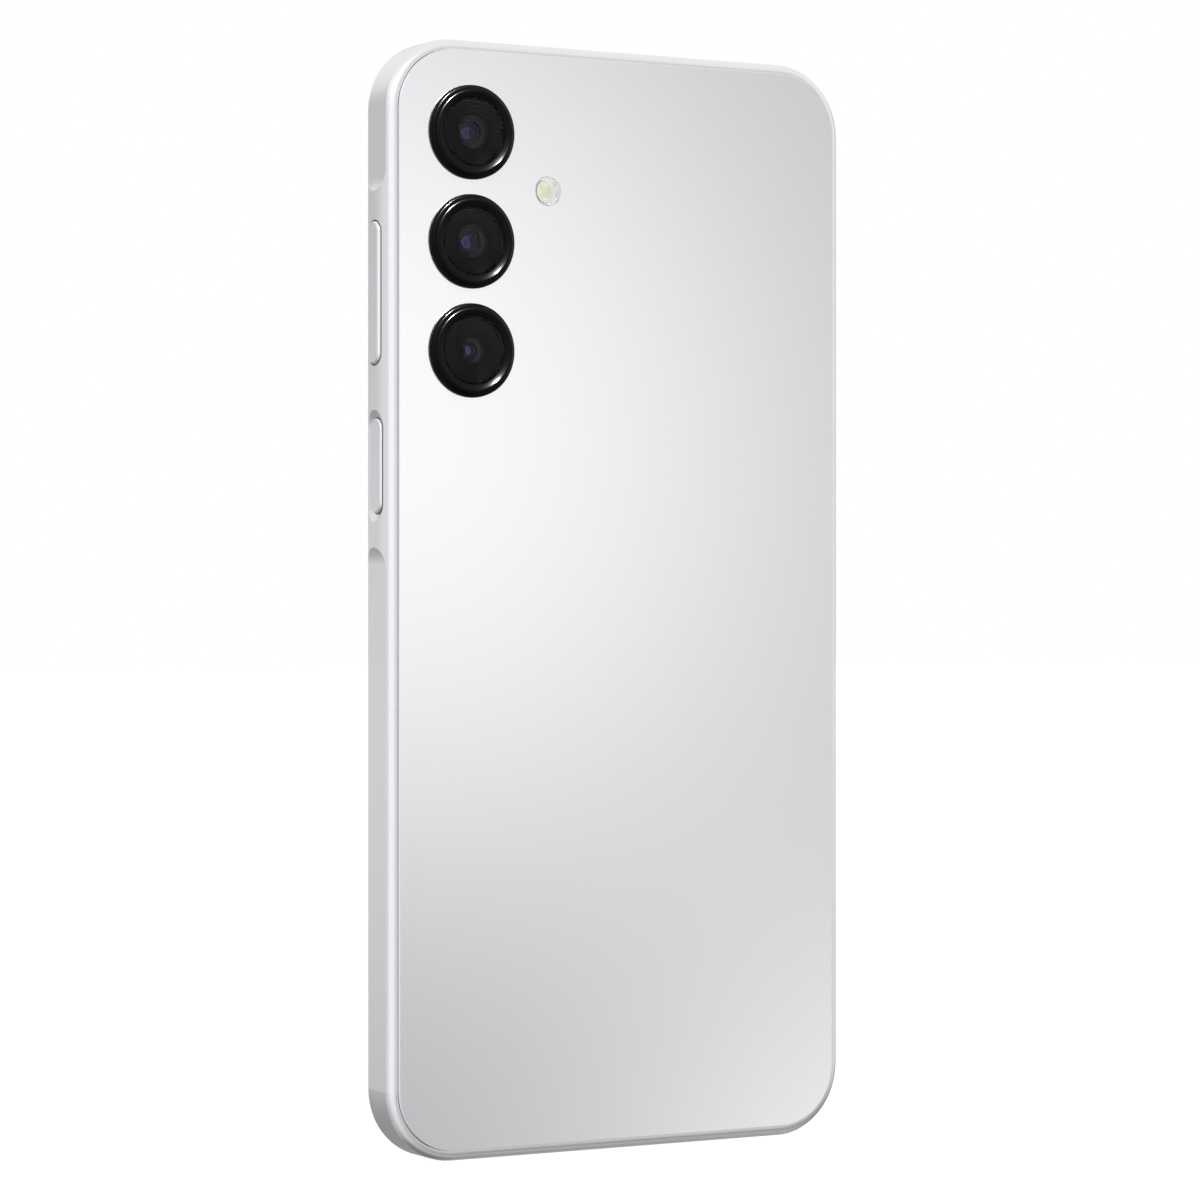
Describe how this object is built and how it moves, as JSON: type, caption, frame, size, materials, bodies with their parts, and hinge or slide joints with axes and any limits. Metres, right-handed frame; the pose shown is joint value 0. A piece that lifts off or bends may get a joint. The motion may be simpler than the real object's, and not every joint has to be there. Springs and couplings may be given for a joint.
{
  "type": "smartphone",
  "caption": "Slab smartphone with flat side bands, raised key island, ringed rear cameras, card tray, USB-C socket and full inner stack.",
  "frame": {"origin": "middle of the bottom edge, halfway through the thickness", "axes": "+Z along the phone towards its top, display faces -Y, rear cover faces +Y, side keys on +X"},
  "size_m": [0.0787, 0.009, 0.1644],
  "materials": {
    "frame_paint": "satin silver-grey paint",
    "key_paint": "satin silver-grey paint",
    "tray_paint": "satin silver-grey paint",
    "cover_gloss": "pearl silver under a clear gloss",
    "cast_plate": "die cast",
    "tape": "black foam tape",
    "clear_glass": "polished",
    "black_ink": "printed black",
    "panel": "unlit display",
    "flex_film": "polyimide film",
    "black_ring": "black, polished",
    "module_metal": "nickel plated",
    "barrel_plastic": "fine matt black",
    "lens_glass": "coated lens",
    "phosphor": "yellow phosphor",
    "white_plastic": "white reflector",
    "board": "solder mask",
    "tin_plate": "tin plated",
    "chip_resin": "moulded resin",
    "bracket_plastic": "moulded",
    "screw_steel": "zinc plated",
    "ferrite": "ferrite film with copper loops",
    "cable_jacket": "extruded jacket",
    "cell_pouch": "laminate pouch in dark film",
    "socket_steel": "stainless",
    "contact_block": "moulded, with plated contacts",
    "cone_film": "formed film",
    "mesh_steel": "fine woven mesh",
    "rotor_metal": "sintered heavy alloy",
    "dome_steel": "snap dome",
    "seal_rubber": "moulded silicone"
  },
  "bodies": {
    "phone": {"side_frame": "frame_paint", "mid_plate": "cast_plate", "rear_cover": "cover_gloss", "rear_cover_adhesive": "tape", "display_glass": "clear_glass", "display_border_mask": "black_ink", "display_panel": "panel", "display_adhesive": "tape", "display_flex": "flex_film", "camera_rings": "black_ring", "camera_windows": "clear_glass", "camera_dust_gaskets": "black_ink", "camera_housing_upper": "module_metal", "camera_housing_middle": "module_metal", "camera_housing_lower": "module_metal", "camera_barrel_upper": "barrel_plastic", "camera_barrel_lower": "barrel_plastic", "camera_lens_upper": "lens_glass", "camera_lens_lower": "lens_glass", "flash_lens": "clear_glass", "flash_led": "phosphor", "flash_carrier": "white_plastic", "front_camera_housing": "module_metal", "front_camera_lens": "lens_glass", "main_board": "board", "shield_cans": "tin_plate", "board_components": "chip_resin", "upper_bracket": "bracket_plastic", "lower_bracket": "bracket_plastic", "bracket_screws": "screw_steel", "nfc_coil": "ferrite", "antenna_cable": "cable_jacket", "battery": "cell_pouch", "battery_flex": "flex_film", "interconnect_flex": "flex_film", "sub_board": "board", "usb_shell": "socket_steel", "usb_tongue": "contact_block", "loudspeaker_box": "bracket_plastic", "loudspeaker_mesh": "mesh_steel", "earpiece_housing": "module_metal", "earpiece_mesh": "mesh_steel", "motor_case": "tin_plate", "microphones": "tin_plate", "power_dome": "dome_steel", "volume_domes": "dome_steel", "key_flex": "flex_film", "sim_socket": "tin_plate"},
    "power_button": {"power_key": "key_paint", "fingerprint_sensor": "chip_resin"},
    "volume_button": {"volume_key": "key_paint"},
    "card_tray": {"sim_tray": "tray_paint", "sim_tray_seal": "seal_rubber"},
    "eject_rod": {"sim_eject_rod": "screw_steel"},
    "eject_lever": {"sim_eject_lever": "screw_steel"},
    "focus_barrel": {"camera_barrel_middle": "barrel_plastic", "camera_lens_middle": "lens_glass"},
    "speaker_cone": {"loudspeaker_diaphragm": "cone_film"},
    "earpiece_cone": {"earpiece_diaphragm": "cone_film"},
    "vibration_weight": {"motor_rotor": "rotor_metal"}
  },
  "joints": [
    {"name": "power_key_press", "type": "slide", "parent": "phone", "child": "power_button", "axis": [-1, 0, 0], "range_m": [0, 0.00025], "stiffness_N_per_m": 8000, "deforming": ["power_dome"]},
    {"name": "volume_key_rock", "type": "hinge", "parent": "phone", "child": "volume_button", "pos_m": [0.03653, 0, 0.127], "axis": [0, 1, 0], "range_deg": [-1.5, 1.5], "stiffness_Nm_per_rad": 0.5, "deforming": ["volume_domes"]},
    {"name": "card_tray_slide", "type": "slide", "parent": "phone", "child": "card_tray", "axis": [-1, 0, 0], "range_m": [0, 0.03]},
    {"name": "eject_rod_push", "type": "slide", "parent": "phone", "child": "eject_rod", "axis": [1, 0, 0], "range_m": [0, 0.0013]},
    {"name": "eject_lever_turn", "type": "hinge", "parent": "phone", "child": "eject_lever", "pos_m": [-0.0021, 0, 0.1375], "axis": [0, 1, 0], "range_deg": [0, 16]},
    {"name": "camera_focus", "type": "slide", "parent": "phone", "child": "focus_barrel", "axis": [0, 1, 0], "range_m": [0, 0.0003], "stiffness_N_per_m": 60},
    {"name": "loudspeaker_stroke", "type": "slide", "parent": "phone", "child": "speaker_cone", "axis": [0, 1, 0], "range_m": [-0.0003, 0.0003], "stiffness_N_per_m": 500},
    {"name": "earpiece_stroke", "type": "slide", "parent": "phone", "child": "earpiece_cone", "axis": [0, 1, 0], "range_m": [-0.00015, 0.00015], "stiffness_N_per_m": 500},
    {"name": "vibration_spin", "type": "hinge", "parent": "phone", "child": "vibration_weight", "pos_m": [-0.0265, 0, 0.0128], "axis": [0, 1, 0], "continuous": true}
  ],
  "couplings": [
    {"joint": "eject_lever_turn", "follows": "eject_rod_push", "rad_per_m": 212.77}
  ]
}
